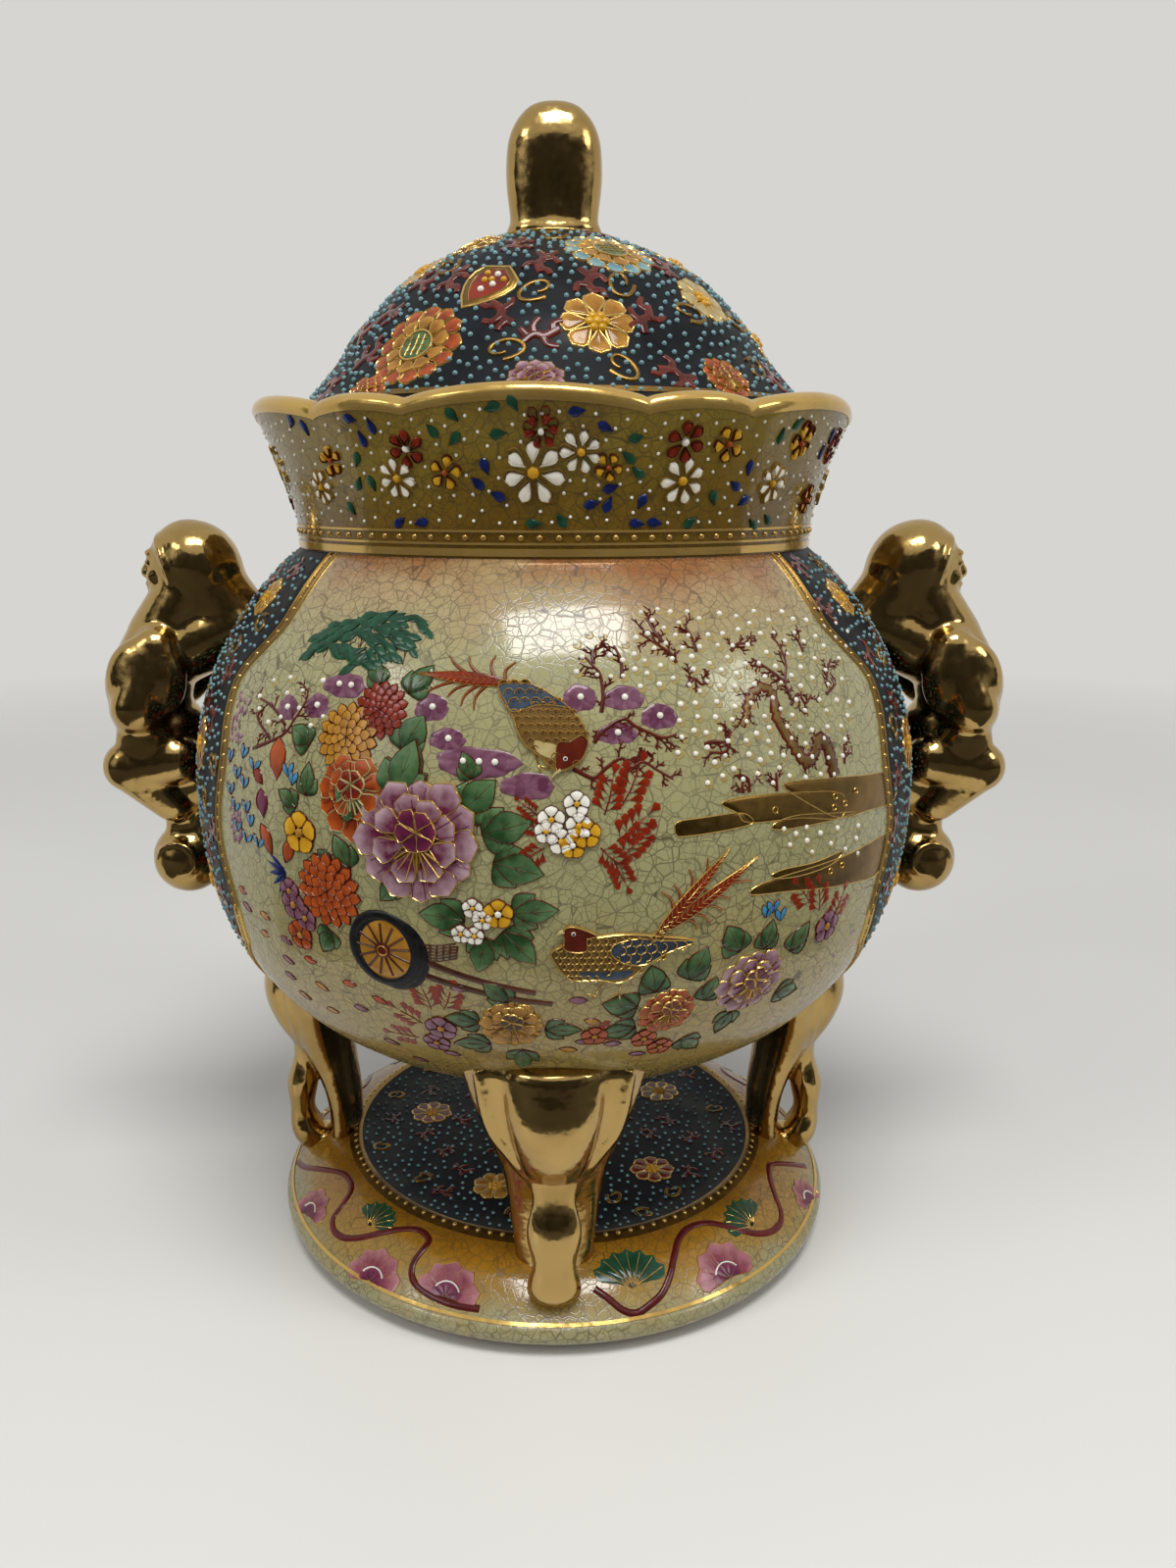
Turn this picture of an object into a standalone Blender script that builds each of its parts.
"""Footed ginger jar: a globular bowl on four trunk-shaped legs and a round plinth, with a lobed collar,
two seated-figure handles and a domed lid that lifts off.

Units are metres, +Z is up, and the origin is the centre of the plinth's foot on the table.
The front leg points along -Y and the handles along +X and -X.
"""

import math

import bmesh
import bpy
from mathutils import Euler, Matrix, Vector

MM = 0.001

# Fits. Luted pieces keep a glaze-thin gap, and the lid keeps a loose one.
LUTE_GAP = 0.3 * MM
LID_SIDE_CLEARANCE = 1.6 * MM

# Bowl: an ellipse above its widest ring and a fuller superellipse below it.
BOWL_RADIUS = 75.0 * MM
BOWL_DEPTH = 62.0 * MM
BOWL_BELLY_POWER = 2.5
SHOULDER_RADIUS = 52.1 * MM
SHOULDER_RISE = 46.5 * MM
BOWL_WALL = 5.0 * MM

# Plinth under the legs, cast as a thick shell that stands on a foot ring.
PLINTH_RADIUS = 62.5 * MM
PLINTH_HEIGHT = 15.5 * MM
PLINTH_SLOPE_RUN = 16.5 * MM
PLINTH_TOP_RADIUS = PLINTH_RADIUS - PLINTH_SLOPE_RUN
PLINTH_DISH = 1.2 * MM
PLINTH_EDGE_HEIGHT = 4.6 * MM
PLINTH_EDGE_ROUND = 2.2 * MM
PLINTH_WALL = 6.0 * MM
FOOT_RING_SET_BACK = 7.5 * MM
FOOT_RING_WIDTH = 4.5 * MM

# Legs: each is a beast's head under the bowl whose trunk drops to the plinth and curls up outwards.
LEG_COUNT = 4
LEG_NAMES = ("front", "right", "back", "left")
LEG_GAP = 25.0 * MM
TRUNK_STEP_OUT = 3.2 * MM
TRUNK_RADIUS = PLINTH_TOP_RADIUS + TRUNK_STEP_OUT
TRUNK_THICKNESS = 7.4 * MM
TRUNK_WIDTH = 15.6 * MM
BROW_REACH = 17.0 * MM
BROW_WIDTH = 23.0 * MM
CURL_REACH = 10.2 * MM
CURL_THICKNESS = 5.6 * MM
CURL_WIDTH = 9.6 * MM
CURL_RIBS = 3
EAR_SPAN = 27.0 * MM
EAR_THICKNESS = 2.6 * MM

# Collar: a flared neck with a ledge inside for the lid, whose lip is a ring of wide and narrow lobes.
COLLAR_HEIGHT = 24.8 * MM
COLLAR_FLARE_POWER = 1.7
COLLAR_WALL = 5.0 * MM
LEDGE_DROP = 2.6 * MM
LEDGE_THICKNESS = 3.2 * MM
LEDGE_OVERHANG = 2.1 * MM
THROAT_RADIUS = SHOULDER_RADIUS - BOWL_WALL - LEDGE_OVERHANG
LEDGE_WIDTH = 6.2 * MM
BRIM_RADIUS = THROAT_RADIUS + LEDGE_WIDTH
LIP_WALL = 3.6 * MM
LIP_FLARE = 2.2 * MM
RIM_RADIUS = BRIM_RADIUS + LID_SIDE_CLEARANCE + LIP_FLARE + LIP_WALL
LOBE_COUNT = 6
LOBE_WIDE_SHARE = 2 / 3
LOBE_NARROW_LIFT = 0.55
LOBE_SWELL = 1.6 * MM
LOBE_LIFT = 2.2 * MM
LOBE_TURN = math.radians(-115)

# Lid: a bell-shaped dome with a flange that drops into the throat, and a tongue-shaped knob.
DOME_HEIGHT = 38.3 * MM
DOME_WALL = 4.0 * MM
BRIM_EDGE = 3.6 * MM
FLANGE_DEPTH = 9.5 * MM
FLANGE_WALL = 4.0 * MM
KNOB_HEIGHT = 23.0 * MM
KNOB_WIDTH = 18.8 * MM
KNOB_DEPTH = 13.0 * MM
KNOB_NECK_SHARE = 0.86
KNOB_CLEFT = 1.1 * MM

# Handles: a hooded figure sits with its back to the bowl, over a scroll that ends in a ball.
HEAD_OUT = 1.6 * MM
HEAD_BELOW_SHOULDER = 3.7 * MM
HEAD_RISE = SHOULDER_RISE - HEAD_BELOW_SHOULDER
HEAD_HEIGHT = 18.4 * MM
BELLY_OUT = 12.4 * MM
BELLY_RISE = 17.0 * MM
BELLY_DEPTH = 18.4 * MM
SHOULDER_SPAN = 24.0 * MM
KNEE_OUT = 15.4 * MM
KNEE_RISE = 0.6 * MM
KNEE_SPAN = 16.0 * MM
LIMB_THICKNESS = 10.4 * MM
BALL_OUT = 6.6 * MM
BALL_DROP = 22.0 * MM
BALL_RADIUS = 8.0 * MM

# Facets of the turned pieces and of the pressed ones.
TURN_STEPS = 36
COLLAR_STEPS = 72
PRESS_VOXEL = 0.9 * MM
PRESS_SOFTEN = 4
LEG_FACES = 800
FIGURE_FACES = 1360

# Heights that follow from the sizes above.
BOWL_BOTTOM_Z = PLINTH_HEIGHT + LEG_GAP
EQUATOR_Z = BOWL_BOTTOM_Z + BOWL_DEPTH
SHOULDER_Z = EQUATOR_Z + SHOULDER_RISE
RIM_Z = SHOULDER_Z + COLLAR_HEIGHT
LEDGE_Z = RIM_Z - LEDGE_DROP
LID_Z = LEDGE_Z + LUTE_GAP
DOME_TOP_Z = LID_Z + DOME_HEIGHT
SHOULDER_ELLIPSE_RISE = SHOULDER_RISE / math.sqrt(1 - (SHOULDER_RADIUS / BOWL_RADIUS) ** 2)

# Glazes and gilding: base colour, roughness, metallic.
CRACKLED_GLAZE = ("crackled_glaze", (0.62, 0.55, 0.37), 0.15, 0.0)
OLIVE_GLAZE = ("olive_glaze", (0.42, 0.32, 0.12), 0.18, 0.0)
NAVY_ENAMEL = ("navy_enamel", (0.02, 0.03, 0.06), 0.16, 0.0)
CREAM_GLAZE = ("cream_glaze", (0.66, 0.47, 0.18), 0.18, 0.0)
BARE_BISCUIT = ("bare_biscuit", (0.70, 0.64, 0.50), 0.75, 0.0)
GILDING = ("gilding", (0.60, 0.40, 0.13), 0.14, 1.0)


def clear_scene():
    for found in list(bpy.data.objects):
        bpy.data.objects.remove(found)


def finish_of(finish):
    """The Principled material of a glaze, made once."""
    name, colour, roughness, metallic = finish
    material = bpy.data.materials.get(name)
    if material is None:
        material = bpy.data.materials.new(name)
        material.use_nodes = True
        shader = material.node_tree.nodes["Principled BSDF"]
        shader.inputs["Base Color"].default_value = (*colour, 1.0)
        shader.inputs["Roughness"].default_value = roughness
        shader.inputs["Metallic"].default_value = metallic
    return material


def place(name, mesh, finish, parent, turn=0.0):
    """A named piece under its parent empty, turned about the jar's axis."""
    piece = bpy.data.objects.new(name, mesh)
    bpy.context.scene.collection.objects.link(piece)
    if not mesh.materials:
        mesh.materials.append(finish_of(finish))
    piece.parent = parent
    piece.matrix_parent_inverse = Matrix.Translation(-parent.location)
    piece.rotation_euler = Euler((0, 0, turn))
    return piece


def empty_at(name, height):
    empty = bpy.data.objects.new(name, None)
    empty.location = (0, 0, height)
    bpy.context.scene.collection.objects.link(empty)
    return empty


def mesh_from(name, bm, smooth_angle=40):
    mesh = bpy.data.meshes.new(name)
    bm.to_mesh(mesh)
    bm.free()
    mesh.shade_smooth()
    mesh.set_sharp_from_angle(angle=math.radians(smooth_angle))
    return mesh


def superellipse(share, power):
    """The other half-axis share of a superellipse at this share of one half-axis."""
    return max(0.0, 1 - abs(share) ** power) ** (1 / power)


def bowl_radius(height):
    """Outer radius of the bowl at a height."""
    rise = height - EQUATOR_Z
    if rise >= 0:
        return BOWL_RADIUS * superellipse(rise / SHOULDER_ELLIPSE_RISE, 2)
    return BOWL_RADIUS * superellipse(rise / BOWL_DEPTH, BOWL_BELLY_POWER)


def underside_height(radius):
    """Height of the bowl's outer face at a radius, below its widest ring."""
    return EQUATOR_Z - BOWL_DEPTH * superellipse(radius / BOWL_RADIUS, BOWL_BELLY_POWER)


def bowl_outline(inset, top, below=11, above=6):
    """Points (radius, height) of the bowl's wall, moved in by inset, from the axis up to a height."""
    points = []
    depth, radius = BOWL_DEPTH - inset, BOWL_RADIUS - inset
    for i in range(below):
        swing = math.pi / 2 * i / below
        across = math.sin(swing) ** (2 / BOWL_BELLY_POWER)
        down = math.cos(swing) ** (2 / BOWL_BELLY_POWER)
        points.append((radius * across, EQUATOR_Z - depth * down))
    rise = SHOULDER_ELLIPSE_RISE - inset
    last = math.asin(min(1.0, (top - EQUATOR_Z) / rise))
    for i in range(above + 1):
        swing = last * i / above
        points.append((radius * math.cos(swing), EQUATOR_Z + rise * math.sin(swing)))
    return points


def curve_through(points, per_span):
    """A smooth curve through a few points, sampled evenly in each span."""
    path = [Vector(p) for p in points]
    path = [2 * path[0] - path[1], *path, 2 * path[-1] - path[-2]]
    found = []
    for before, start, end, after in zip(path, path[1:], path[2:], path[3:]):
        for i in range(per_span):
            t = i / per_span
            pull = (end - before) * t + (2 * before - 5 * start + 4 * end - after) * t * t
            pull += (3 * start - before - 3 * end + after) * t**3
            found.append(tuple(start + pull / 2))
    return [*found, tuple(path[-2])]


def arc(centre, radius, start_deg, end_deg, spans):
    """Points of a round stretch of an outline."""
    swings = [math.radians(start_deg + (end_deg - start_deg) * i / spans) for i in range(spans + 1)]
    return [(centre[0] + radius * math.cos(a), centre[1] + radius * math.sin(a)) for a in swings]


def turned(outline, steps=TURN_STEPS, ring=False):
    """A bmesh turned about Z from an outline of (radius, height). A ring's outline closes on itself."""
    bm = bmesh.new()
    verts = [bm.verts.new((radius, 0, height)) for radius, height in outline]
    pairs = list(zip(verts, verts[1:]))
    if ring:
        pairs.append((verts[-1], verts[0]))
    edges = [bm.edges.new(pair) for pair in pairs]
    bmesh.ops.spin(
        bm, geom=verts + edges, cent=(0, 0, 0), axis=(0, 0, 1), angle=math.tau, steps=steps, use_merge=True
    )
    bmesh.ops.remove_doubles(bm, verts=bm.verts, dist=0.001 * MM)
    bmesh.ops.dissolve_degenerate(bm, edges=bm.edges, dist=0.001 * MM)
    bmesh.ops.recalc_face_normals(bm, faces=bm.faces)
    return bm


def helper(name, bm):
    """A cutter, kept out of the model."""
    piece = bpy.data.objects.new(name, mesh_from(name, bm))
    bpy.context.scene.collection.objects.link(piece)
    piece.hide_render = True
    piece.display_type = "WIRE"
    return piece


def cut_by(piece, *cutters):
    for cutter in cutters:
        cut = piece.modifiers.new("cut_" + cutter.name, "BOOLEAN")
        cut.operation = "DIFFERENCE"
        cut.object = cutter


# Bowl


def build_bowl(jar):
    top = SHOULDER_Z - LUTE_GAP
    outside = bowl_outline(0, top)
    inside = bowl_outline(BOWL_WALL, top, below=8, above=5)
    return place("jar_bowl", mesh_from("jar_bowl", turned(outside + inside[::-1])), CRACKLED_GLAZE, jar)


def bowl_cutter():
    """The bowl as a plug, larger by the luting gap, that trims what is luted to it."""
    outline = bowl_outline(-LUTE_GAP, SHOULDER_Z, below=16, above=9)
    return helper("bowl_cutter", turned([*outline, (0, SHOULDER_Z)], steps=2 * TURN_STEPS))


# Plinth


def plinth_top_outline(lift=0.0):
    """The plinth's top from its rounded edge to the axis."""
    edge = (PLINTH_RADIUS - PLINTH_EDGE_ROUND, PLINTH_EDGE_HEIGHT + lift)
    rounding = arc(edge, PLINTH_EDGE_ROUND + lift, -50, 55, 5)
    middle = (PLINTH_RADIUS + PLINTH_TOP_RADIUS) / 2
    slope = [
        rounding[-1],
        (middle, PLINTH_HEIGHT * 0.80 + lift),
        (PLINTH_TOP_RADIUS, PLINTH_HEIGHT + lift),
    ]
    dish = [
        (PLINTH_TOP_RADIUS * 0.90, PLINTH_HEIGHT - PLINTH_DISH + lift),
        (PLINTH_TOP_RADIUS * 0.45, PLINTH_HEIGHT - PLINTH_DISH + lift),
        (0, PLINTH_HEIGHT - PLINTH_DISH + lift),
    ]
    return rounding[:-1] + curve_through(slope, 3) + dish


def build_plinth(jar):
    ring_out = PLINTH_RADIUS - FOOT_RING_SET_BACK + FOOT_RING_WIDTH / 2
    ring_in = ring_out - FOOT_RING_WIDTH
    hollow_z = PLINTH_HEIGHT - PLINTH_DISH - PLINTH_WALL
    hollow_radius = min(PLINTH_TOP_RADIUS, ring_in)
    underside = [(0, hollow_z), (hollow_radius, hollow_z), (ring_in, hollow_z / 2), (ring_in, 0)]
    outline = [*underside, (ring_out, 0), *plinth_top_outline()]
    return place("base_plinth", mesh_from("base_plinth", turned(outline)), CREAM_GLAZE, jar)


def plinth_cutter():
    """The plinth's top, raised by the luting gap, that trims the legs' feet."""
    floor = -PLINTH_HEIGHT
    outline = [(0, floor), (PLINTH_RADIUS + PLINTH_HEIGHT, floor)]
    outline += [(PLINTH_RADIUS + PLINTH_HEIGHT, PLINTH_EDGE_HEIGHT), *plinth_top_outline(LUTE_GAP)[5:]]
    return helper("plinth_cutter", turned(outline, steps=2 * TURN_STEPS))


# Collar


def lobe(angle):
    """How far the lip swells at an angle, from 0 in a notch to 1 on the crown of a wide lobe."""
    turn = ((angle - LOBE_TURN) / math.tau * LOBE_COUNT) % 1
    if turn < LOBE_WIDE_SHARE:
        return math.sin(math.pi * turn / LOBE_WIDE_SHARE) ** 0.7
    share = (turn - LOBE_WIDE_SHARE) / (1 - LOBE_WIDE_SHARE)
    return LOBE_NARROW_LIFT * math.sin(math.pi * share) ** 0.7


def collar_radius(share):
    """Outer radius of the collar's plain flare, at a share of its height."""
    return SHOULDER_RADIUS + (RIM_RADIUS - SHOULDER_RADIUS) * share**COLLAR_FLARE_POWER


def build_collar(jar):
    bottom = SHOULDER_Z
    bead = LIP_WALL / 2
    outside = [(collar_radius(s), bottom + COLLAR_HEIGHT * s) for s in (0, 0.25, 0.5, 0.75, 0.92)]
    crown = arc((RIM_RADIUS - bead, RIM_Z), bead, 0, 180, 4)
    seat_radius = BRIM_RADIUS + LID_SIDE_CLEARANCE
    ledge = [(seat_radius, LEDGE_Z), (THROAT_RADIUS, LEDGE_Z), (THROAT_RADIUS, LEDGE_Z - LEDGE_THICKNESS)]
    throat = [(collar_radius(s) - COLLAR_WALL, bottom + COLLAR_HEIGHT * s) for s in (0.58, 0.3)]
    throat.append((SHOULDER_RADIUS - BOWL_WALL, bottom))
    bm = turned(outside + crown + ledge + throat, COLLAR_STEPS, ring=True)
    for vert in bm.verts:
        share = max(0.0, (vert.co.z - bottom) / COLLAR_HEIGHT)
        radius = math.hypot(vert.co.x, vert.co.y)
        if radius < seat_radius + LIP_WALL / 4 and share < 1 - LEDGE_DROP / COLLAR_HEIGHT / 2:
            continue
        swell = lobe(math.atan2(vert.co.y, vert.co.x)) * min(1.0, share) ** 2
        grown = radius + LOBE_SWELL * swell
        vert.co.x *= grown / radius
        vert.co.y *= grown / radius
        vert.co.z += LOBE_LIFT * (swell - 0.5 * min(1.0, share) ** 2)
    bmesh.ops.recalc_face_normals(bm, faces=bm.faces)
    return place("neck_collar", mesh_from("neck_collar", bm), OLIVE_GLAZE, jar)


# Lid


def dome_outline(inset=0.0, per_span=4):
    """The dome from its apex to its brim, moved in by inset along its own normals."""
    side = [
        (0.49 * BRIM_RADIUS, 0.80 * DOME_HEIGHT),
        (0.755 * BRIM_RADIUS, 0.49 * DOME_HEIGHT),
        (0.845 * BRIM_RADIUS, 0.32 * DOME_HEIGHT),
        (0.985 * BRIM_RADIUS, 1.17 * BRIM_EDGE),
    ]
    far_side = [(-radius, height) for radius, height in side[1::-1]]
    curve = [Vector(p) for p in curve_through([*far_side, (0, DOME_HEIGHT), *side], per_span)]
    apex = len(far_side) * per_span
    moved = [(0, LID_Z + DOME_HEIGHT - inset)]
    for before, here, after in zip(curve[apex:], curve[apex + 1 :], [*curve[apex + 2 :], curve[-1]]):
        run = (after - before).normalized()
        moved.append((here.x + inset * run.y, LID_Z + here.y - inset * run.x))
    return moved


def build_lid(lid):
    flange_out = THROAT_RADIUS - LID_SIDE_CLEARANCE
    flange_in = flange_out - FLANGE_WALL
    brim = [
        (BRIM_RADIUS, LID_Z + BRIM_EDGE),
        (BRIM_RADIUS, LID_Z + BRIM_EDGE / 3),
        (BRIM_RADIUS - BRIM_EDGE / 3, LID_Z),
        (flange_in, LID_Z),
    ]
    inside = [p for p in dome_outline(DOME_WALL, 3)[::-1] if p[0] < flange_in - DOME_WALL / 4]
    outline = dome_outline() + brim + inside
    place("lid_dome", mesh_from("lid_dome", turned(outline)), NAVY_ENAMEL, lid)
    flange_top = LID_Z - LUTE_GAP
    flange = [
        (flange_in, flange_top),
        (flange_in, flange_top - FLANGE_DEPTH),
        (flange_out - FLANGE_WALL / 4, flange_top - FLANGE_DEPTH),
        (flange_out, flange_top - FLANGE_DEPTH + FLANGE_WALL / 4),
        (flange_out, flange_top),
    ]
    place("lid_flange", mesh_from("lid_flange", turned(flange, ring=True)), BARE_BISCUIT, lid)


def knob_section(share):
    """Half-width and half-depth of the knob at a share of its height."""
    belly = KNOB_NECK_SHARE + (1 - KNOB_NECK_SHARE) * math.sin(math.pi * min(1.0, share / 0.9))
    crown = superellipse(max(0.0, (share - 0.62) / 0.38), 2.5)
    flare = 1 + 0.16 * math.exp(-share / 0.05)
    return KNOB_WIDTH / 2 * belly * crown * flare, KNOB_DEPTH / 2 * belly * crown * flare


def build_knob(lid):
    """The knob, lofted up from flattened rings with a shallow cleft down its broad faces."""
    sides, root = 20, 3 * MM
    shares = (0, 0.06, 0.16, 0.3, 0.45, 0.6, 0.72, 0.82, 0.9, 0.955, 0.985)
    bm = bmesh.new()
    rings = []
    for share in (-root / KNOB_HEIGHT, *shares):
        wide, deep = knob_section(max(0.0, share))
        ring = []
        for i in range(sides):
            swing = math.tau * i / sides
            x = wide * math.copysign(abs(math.cos(swing)) ** 0.85, math.cos(swing))
            y = deep * math.copysign(abs(math.sin(swing)) ** 0.85, math.sin(swing))
            cleft = KNOB_CLEFT * math.exp(-((x / (0.12 * KNOB_WIDTH)) ** 2) - (share - 0.25) ** 2 / 0.06)
            y -= math.copysign(min(cleft, abs(y)), y)
            ring.append(bm.verts.new((x, y, DOME_TOP_Z + share * KNOB_HEIGHT)))
        rings.append(ring)
    for lower, upper in zip(rings, rings[1:]):
        for i in range(sides):
            j = (i + 1) % sides
            bm.faces.new((lower[i], lower[j], upper[j], upper[i]))
    top = bm.verts.new((0, 0, DOME_TOP_Z + KNOB_HEIGHT))
    for i in range(sides):
        bm.faces.new((rings[-1][i], rings[-1][(i + 1) % sides], top))
    bm.faces.new(rings[0][::-1])
    bmesh.ops.recalc_face_normals(bm, faces=bm.faces)
    knob = place("lid_knob", mesh_from("lid_knob", bm), GILDING, lid)
    cutter = helper("dome_cutter", turned([*dome_outline(-LUTE_GAP), (0, LID_Z)]))
    cut_by(knob, cutter)


# Pressed clay: lumps and limbs that a mould would give as one soft form


def lump(bm, centre, radii, tilt_deg=0.0):
    """An ellipsoid. Tilt leans it in the plane of the jar's axis, outwards for a positive angle."""
    made = bmesh.ops.create_icosphere(bm, subdivisions=3, radius=1.0)["verts"]
    lean = Matrix.Rotation(math.radians(tilt_deg), 4, "Y")
    frame = Matrix.Translation(centre) @ lean @ Matrix.Diagonal((*radii, 1.0))
    bmesh.ops.transform(bm, matrix=frame, verts=made)


def limb(bm, start, end, start_radius, end_radius, flatten=1.0):
    """A round limb that tapers between two ends. Flatten thins it sideways, across the figure."""
    start, end = Vector(start), Vector(end)
    beads = max(3, round((end - start).length / (0.35 * min(start_radius, end_radius))))
    for i in range(beads + 1):
        t = i / beads
        radius = start_radius + (end_radius - start_radius) * t
        lump(bm, start.lerp(end, t), (radius, radius * flatten, radius))


def pressed(name, bm, faces, *cutters):
    """The lumps of a bmesh melted into one skin, softened, thinned to a number of faces and trimmed."""
    piece = bpy.data.objects.new(name, mesh_from(name, bm))
    bpy.context.scene.collection.objects.link(piece)
    skin = piece.modifiers.new("skin", "REMESH")
    skin.mode = "VOXEL"
    skin.voxel_size = PRESS_VOXEL
    soften = piece.modifiers.new("soften", "SMOOTH")
    soften.factor = 0.5
    soften.iterations = PRESS_SOFTEN
    graph = bpy.context.evaluated_depsgraph_get()
    quads = len(piece.evaluated_get(graph).data.polygons)
    thin = piece.modifiers.new("thin", "DECIMATE")
    thin.ratio = min(1.0, faces / (2 * quads))
    cut_by(piece, *cutters)
    graph = bpy.context.evaluated_depsgraph_get()
    mesh = bpy.data.meshes.new_from_object(piece.evaluated_get(graph))
    mesh.name = name
    mesh.shade_smooth()
    bpy.data.objects.remove(piece)
    return mesh


# Legs, modelled on the +X side


def leg_mesh(*cutters):
    bm = bmesh.new()
    foot_z = PLINTH_HEIGHT * 0.72
    span = underside_height(TRUNK_RADIUS) - foot_z

    def at(out, up, side=0.0):
        """A point out from the trunk's line, at a share of the way up from the plinth to the bowl."""
        return (TRUNK_RADIUS + out, side, foot_z + span * up)

    # Flanks: broad under the bowl, drawn in below, straight down to the plinth. Each row is a height
    # and, as shares of the brow's reach and half-width, how far out it lies, its depth and its width.
    flanks = [
        (1.20, 0.24, 0.53, 1.56),
        (1.00, 0.26, 0.47, 1.36),
        (0.82, 0.25, 0.41, 1.11),
        (0.64, 0.18, 0.33, 0.91),
        (0.48, 0.09, 0.26, 0.82),
        (0.31, 0.02, 0.23, 0.76),
        (0.13, 0.00, 0.22, 0.70),
        (-0.04, 0.00, 0.24, 0.68),
    ]
    for up, out, depth, width in curve_through(flanks, 3):
        half_depth = max(TRUNK_THICKNESS / 2, BROW_REACH * depth)
        half_width = max(TRUNK_WIDTH, BROW_WIDTH * width) / 2
        lump(bm, at(BROW_REACH * out, up), (half_depth, half_width, 5.0 * MM))
    # Brow: a dome under the bowl that runs down into the snout, in rows like those of the flanks.
    brow = [
        (1.20, 0.53, 0.41, 0.87),
        (0.99, 0.65, 0.38, 0.74),
        (0.81, 0.56, 0.34, 0.63),
        (0.64, 0.36, 0.28, 0.49),
        (0.48, 0.19, 0.22, 0.40),
    ]
    for up, out, depth, width in curve_through(brow, 3):
        lump(bm, at(BROW_REACH * out, up), (BROW_REACH * depth, BROW_WIDTH * width / 2, 4.0 * MM))
    # Ears: two folds that sweep from their corners under the bowl down and in to the snout.
    ear = [
        (0.56, 0.50, 1.20),
        (0.54, 0.46, 1.00),
        (0.51, 0.41, 0.88),
        (0.51, 0.33, 0.80),
        (0.50, 0.25, 0.72),
        (0.45, 0.19, 0.65),
    ]
    for out, side, up in curve_through(ear, 4):
        for hand in (-1, 1):
            centre = at(BROW_REACH * out, up, hand * EAR_SPAN * side)
            lump(bm, centre, (EAR_THICKNESS / 2,) * 3)
    # Curl: the trunk's tip turns out over the plinth and rises back to the brow, ribbed across.
    curl = [(0.20, 0.0), (0.66, -0.02), (0.98, 0.10), (1.0, 0.30), (0.90, 0.49), (0.76, 0.69)]
    path = curve_through(curl, 5)
    for i, (out, up) in enumerate(path):
        rib = 1 + 0.11 * math.cos(math.tau * CURL_RIBS * i / (len(path) - 1))
        radius = CURL_THICKNESS / 2 * rib
        lump(bm, at(CURL_REACH * out, up), (radius, CURL_WIDTH / 2 * rib, radius))
    return pressed("leg", bm, LEG_FACES, *cutters)


def build_legs(jar, *cutters):
    mesh = leg_mesh(*cutters)
    for i, name in enumerate(LEG_NAMES):
        place("leg_" + name, mesh, GILDING, jar, math.radians(-90 + 360 / LEG_COUNT * i))


# Handles, modelled on the +X side


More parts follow.
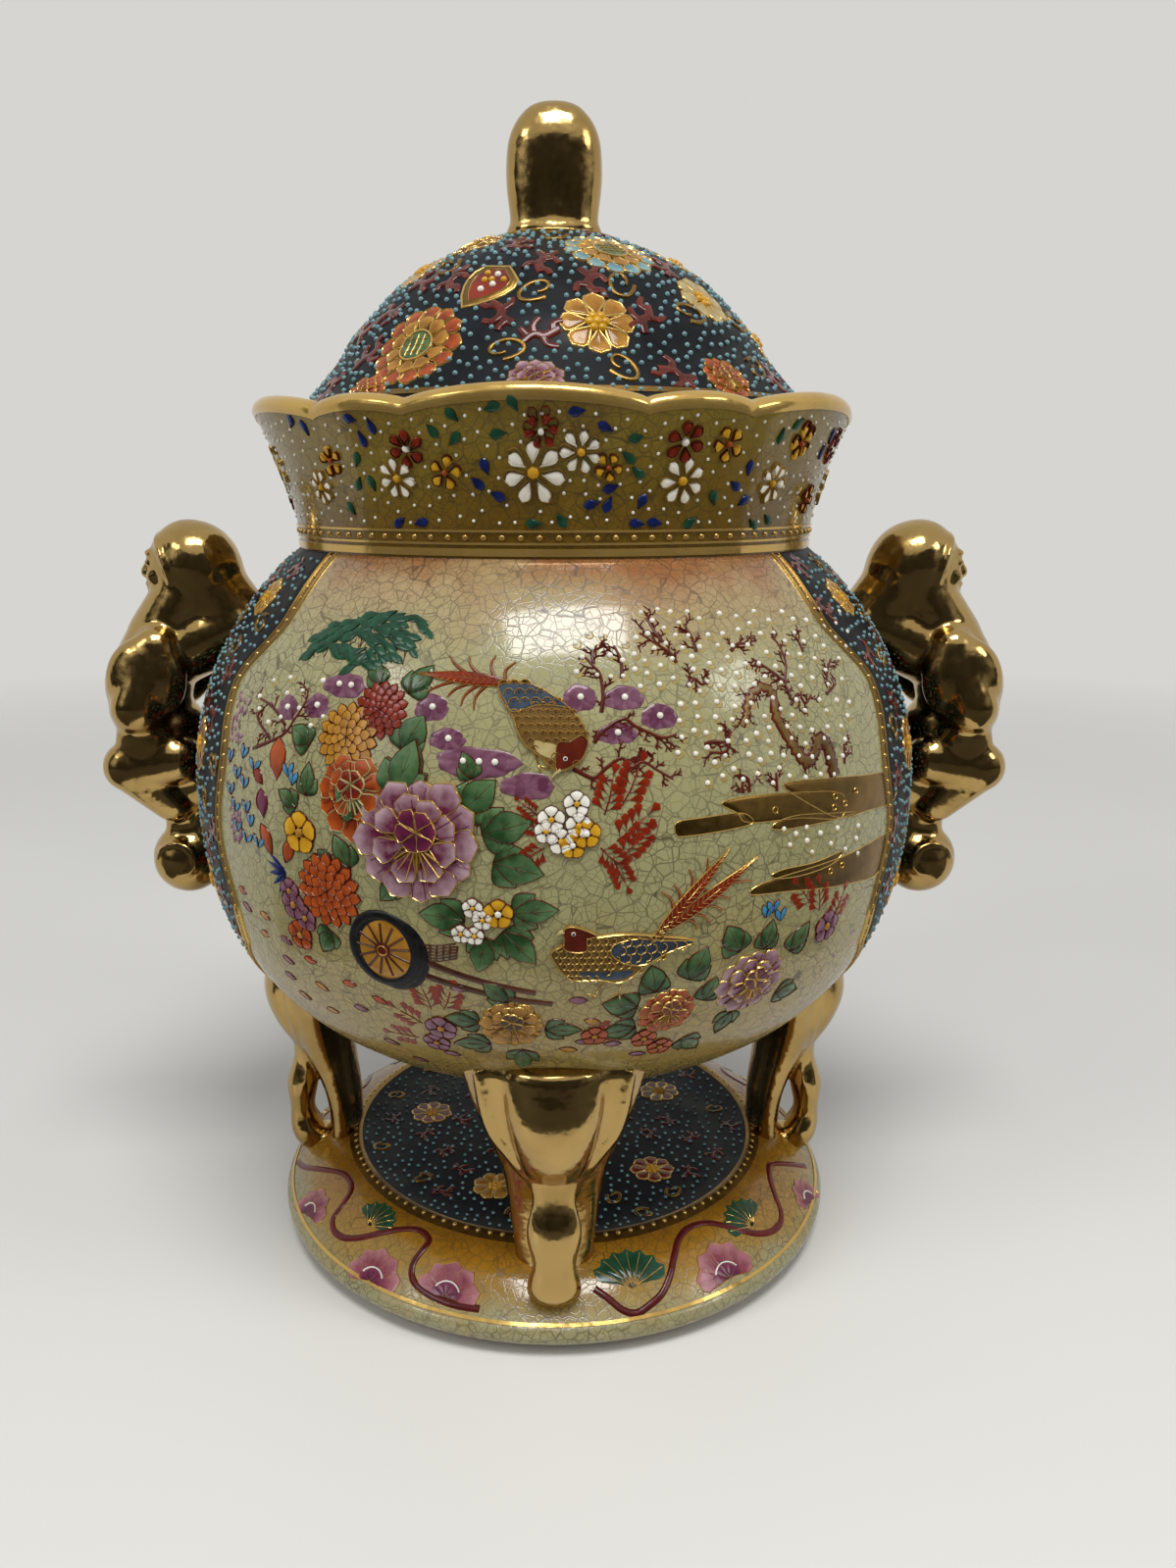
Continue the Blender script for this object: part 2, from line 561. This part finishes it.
def figure_mesh(*cutters):
    bm = bmesh.new()

    def at(out, rise, side=0.0):
        return Vector((BOWL_RADIUS + out, side, EQUATOR_Z + rise))

    head = at(HEAD_OUT, HEAD_RISE)
    half = HEAD_HEIGHT / 2

    def on_head(out, side, up):
        return head + Vector((out, side, up)) * half

    # Head with a calm, plain face turned outwards.
    lump(bm, head, (0.96 * half, 0.88 * half, half))
    lump(bm, on_head(0.46, 0, -0.36), (0.58 * half, 0.60 * half, 0.62 * half))
    limb(bm, on_head(0.92, 0, 0.10), on_head(1.05, 0, -0.20), 0.9 * MM, 1.4 * MM)
    lump(bm, on_head(0.98, 0, -0.48), (1.2 * MM, 2.4 * MM, 0.9 * MM))
    lump(bm, on_head(0.86, 0, -0.80), (2.0 * MM, 2.4 * MM, 1.8 * MM))
    # Hood: over the crown, down the nape and on to the bowl's shoulder.
    hood = curve_through([on_head(-0.02, 0, 0.20), on_head(-0.20, 0, -0.05), on_head(-0.42, 0, -0.55)], 4)
    for i, centre in enumerate(hood):
        size = half * (0.62 + 0.30 * math.sin(math.pi * (i + 2) / (len(hood) + 3)))
        lump(bm, centre, (size, size * 1.04, size))
    root_rise = HEAD_RISE - 0.68 * HEAD_HEIGHT
    root = Vector((bowl_radius(EQUATOR_Z + root_rise), 0, EQUATOR_Z + root_rise))
    limb(bm, on_head(-0.42, 0, -0.55), root, 0.80 * half, 0.66 * half)
    # Body under a loose robe: neck, shoulders, belly and the cape on the back.
    belly = at(BELLY_OUT, BELLY_RISE)
    chest = at(0.66 * BELLY_OUT, HEAD_RISE - 0.86 * HEAD_HEIGHT)
    limb(bm, on_head(0.10, 0, -0.5), chest, 0.60 * half, 0.74 * half, 1.2)
    limb(bm, chest, belly, 0.82 * half, BELLY_DEPTH / 2, 1.16)
    lap = (0.47 * BELLY_DEPTH, 0.46 * SHOULDER_SPAN, 0.46 * BELLY_DEPTH)
    lump(bm, belly - Vector((0, 0, 0.25 * BELLY_DEPTH)), lap)
    limb(bm, chest, root, 0.62 * half, 0.60 * half, 1.2)
    # Seat of the robe, luted to the bowl below the finger gap.
    lump(bm, at(0.50 * KNEE_OUT, KNEE_RISE + 1.0 * MM), (9.5 * MM, 0.64 * KNEE_SPAN, 5.6 * MM))
    lump(bm, at(0.20 * KNEE_OUT, KNEE_RISE - 4.0 * MM), (7.0 * MM, 0.50 * KNEE_SPAN, 8.0 * MM))
    for hand in (-1, 1):
        # Sleeved arm, from the shoulder over the belly to a hand on the knee.
        shoulder = at(0.60 * BELLY_OUT, HEAD_RISE - 0.92 * HEAD_HEIGHT, hand * 0.36 * SHOULDER_SPAN)
        elbow = at(BELLY_OUT - 1.0 * MM, BELLY_RISE - 3.0 * MM, hand * 0.48 * SHOULDER_SPAN)
        wrist = at(KNEE_OUT - 0.5 * MM, KNEE_RISE + 9.5 * MM, hand * 0.40 * SHOULDER_SPAN)
        limb(bm, shoulder, elbow, 0.46 * LIMB_THICKNESS, 0.54 * LIMB_THICKNESS)
        sleeve = (0.46 * BELLY_DEPTH, 0.46 * LIMB_THICKNESS, 0.52 * BELLY_DEPTH)
        lump(bm, shoulder.lerp(elbow, 0.55), sleeve, -12)
        limb(bm, elbow, wrist, 0.54 * LIMB_THICKNESS, 0.36 * LIMB_THICKNESS)
        lump(bm, wrist - Vector((0.6 * MM, 0, 2.4 * MM)), (4.4 * MM, 3.4 * MM, 2.8 * MM), 15)
        # Folded leg: thigh, knee, shin and foot.
        hip = at(0.36 * KNEE_OUT, KNEE_RISE + 1.5 * MM, hand * 0.46 * KNEE_SPAN)
        knee = at(KNEE_OUT, KNEE_RISE, hand * 0.50 * KNEE_SPAN)
        foot = at(0.50 * KNEE_OUT, KNEE_RISE - 8.6 * MM, hand * 0.34 * KNEE_SPAN)
        limb(bm, hip, knee, 0.52 * LIMB_THICKNESS, 0.54 * LIMB_THICKNESS)
        limb(bm, knee, foot, 0.50 * LIMB_THICKNESS, 0.34 * LIMB_THICKNESS)
    # Scroll under the feet, ending in a ball against the bowl.
    ball = at(BALL_OUT, -BALL_DROP)
    limb(bm, at(0.44 * KNEE_OUT, KNEE_RISE - 7.0 * MM), ball, 0.48 * LIMB_THICKNESS, 0.40 * LIMB_THICKNESS)
    back = ball - Vector((0.5 * BALL_RADIUS, 0, 0))
    limb(bm, at(0, -0.5 * BALL_DROP), back, 0.40 * LIMB_THICKNESS, 0.50 * LIMB_THICKNESS)
    lump(bm, ball, (BALL_RADIUS,) * 3)
    return pressed("handle_figure", bm, FIGURE_FACES, *cutters)


def build_handles(jar, *cutters):
    mesh = figure_mesh(*cutters)
    place("handle_figure_right", mesh, GILDING, jar)
    place("handle_figure_left", mesh, GILDING, jar, math.pi)


def main():
    clear_scene()
    jar = empty_at("jar", 0)
    lid = empty_at("lid", LID_Z)
    build_plinth(jar)
    build_bowl(jar)
    build_collar(jar)
    plug = bowl_cutter()
    build_legs(jar, plug, plinth_cutter())
    build_handles(jar, plug)
    build_lid(lid)
    build_knob(lid)


main()
